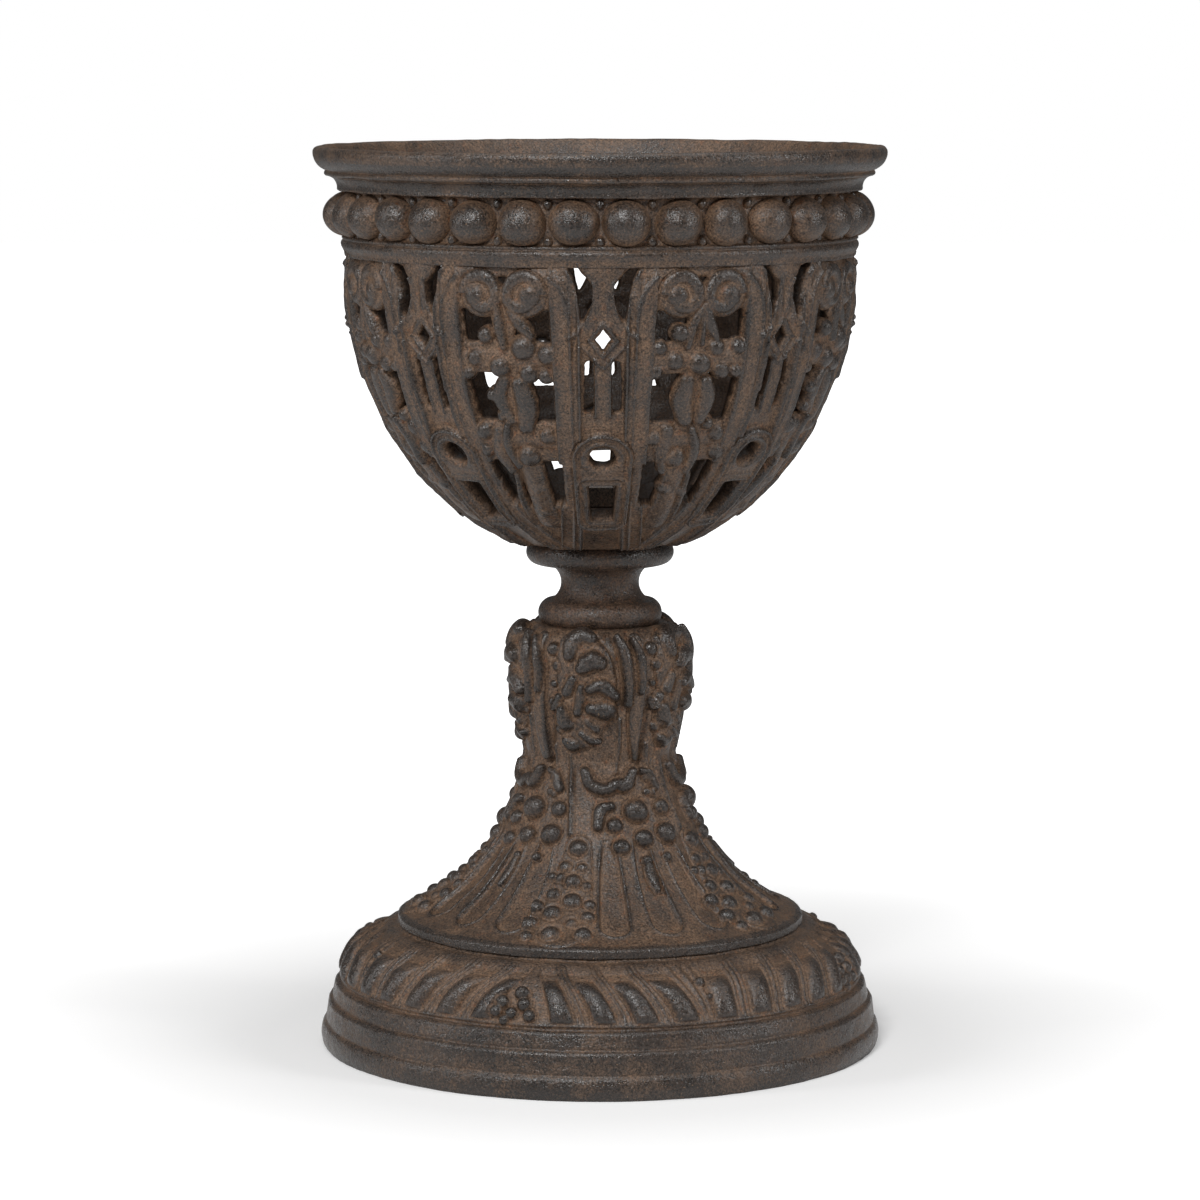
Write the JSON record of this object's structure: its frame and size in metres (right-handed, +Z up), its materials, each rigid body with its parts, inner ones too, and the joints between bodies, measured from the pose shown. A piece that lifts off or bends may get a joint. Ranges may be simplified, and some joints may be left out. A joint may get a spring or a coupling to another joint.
{
  "type": "pedestal cup",
  "caption": "Standing cast-iron cup with a pierced bowl, bead frieze and flared lip on a turned neck, a relief stem with fluted skirt, and a gadrooned domed foot.",
  "frame": {"origin": "on the floor under the vertical axis of the cup, at the centre of the foot", "axes": "+Z up along the axis of the cup; -Y toward the side shown in the picture, where a tracery panel of the bowl faces the viewer; +X to the viewer's right"},
  "size_m": [0.202, 0.202, 0.32],
  "materials": {
    "casting": "sand-cast, brown-black with dust in the hollows",
    "fittings": "dull, darkened steel",
    "bar": "rough black flat bar"
  },
  "bodies": {
    "root": {"bowl": "casting", "neck_collar": "casting", "stem": "casting", "foot": "casting", "tie_rod": "fittings", "bowl_washer": "fittings", "bowl_nut": "fittings", "bridge_bar": "bar", "bridge_washer": "fittings", "bridge_nut": "fittings"}
  },
  "joints": []
}
